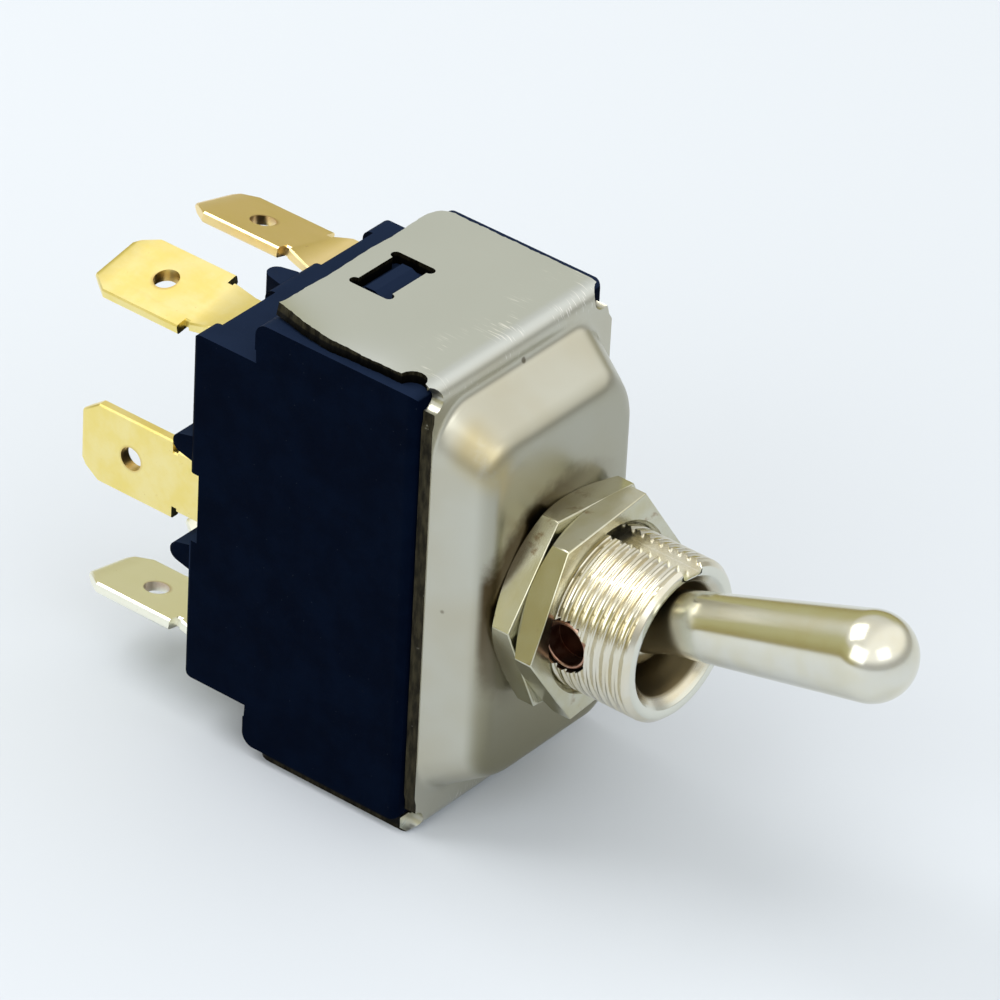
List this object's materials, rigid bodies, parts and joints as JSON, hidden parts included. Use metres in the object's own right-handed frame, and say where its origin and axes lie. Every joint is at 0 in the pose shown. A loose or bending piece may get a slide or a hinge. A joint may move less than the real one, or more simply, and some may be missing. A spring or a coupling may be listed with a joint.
{
  "type": "panel toggle switch",
  "caption": "Panel-mount toggle switch with a bat lever, threaded bushing, two hex nuts, a drawn metal cover over a moulded case and quick-connect blade terminals.",
  "frame": {"origin": "on the bushing axis, at the front face of the outer nut, where the free thread starts", "axes": "-Y out of the panel along the bushing; +Z the side with the keyway, to which the lever is thrown at rest; X across the width"},
  "size_m": [0.0198, 0.0645, 0.0362],
  "materials": {
    "case": "moulded, semi-matt black",
    "cover": "nickel-plated steel, satin",
    "bushing": "bright nickel plate",
    "nuts": "bright nickel plate",
    "lever": "bright nickel plate",
    "pin": "copper-coloured, bare",
    "arm": "natural nylon",
    "plunger": "natural nylon",
    "spring": "spring steel wire",
    "blade": "copper strip",
    "contact": "silver contact",
    "tab": "bright brass"
  },
  "bodies": {
    "housing": {"case": "case", "cover": "cover", "bushing": "bushing", "nut_inner": "nuts", "nut_outer": "nuts", "pivot_pin": "pin", "fixed_contacts_a": "contact", "fixed_contacts_b": "contact", "tab_up_a": "tab", "tab_up_b": "tab", "tab_mid_a": "tab", "tab_mid_b": "tab", "tab_down_a": "tab", "tab_down_b": "tab"},
    "lever": {"lever": "lever", "arm": "arm"},
    "plunger_a": {"plunger_a": "plunger", "spring_a": "spring"},
    "plunger_b": {"plunger_b": "plunger", "spring_b": "spring"},
    "rocker_a": {"blade_a": "blade", "moving_contacts_a": "contact"},
    "rocker_b": {"blade_b": "blade", "moving_contacts_b": "contact"}
  },
  "joints": [
    {"name": "lever_throw", "type": "hinge", "parent": "housing", "child": "lever", "pos_m": [0, -0.00068, 0], "axis": [1, 0, 0], "range_deg": [0, 33.5]},
    {"name": "rocker_a_tilt", "type": "hinge", "parent": "housing", "child": "rocker_a", "pos_m": [-0.0049, 0.02153, 0], "axis": [1, 0, 0], "range_deg": [-11, 0]},
    {"name": "rocker_b_tilt", "type": "hinge", "parent": "housing", "child": "rocker_b", "pos_m": [0.0049, 0.02153, 0], "axis": [1, 0, 0], "range_deg": [-11, 0]},
    {"name": "plunger_a_press", "type": "slide", "parent": "lever", "child": "plunger_a", "axis": [0, -0.9576, 0.2882], "range_m": [0, 0.0009], "stiffness_N_per_m": 120, "springref_m": -0.004, "deforming": ["spring_a"]},
    {"name": "plunger_b_press", "type": "slide", "parent": "lever", "child": "plunger_b", "axis": [0, -0.9576, 0.2882], "range_m": [0, 0.0009], "stiffness_N_per_m": 120, "springref_m": -0.004, "deforming": ["spring_b"]}
  ],
  "couplings": [
    {"joint": "rocker_a_tilt", "follows": "lever_throw", "ratio": -0.32836},
    {"joint": "rocker_b_tilt", "follows": "lever_throw", "ratio": -0.32836}
  ]
}
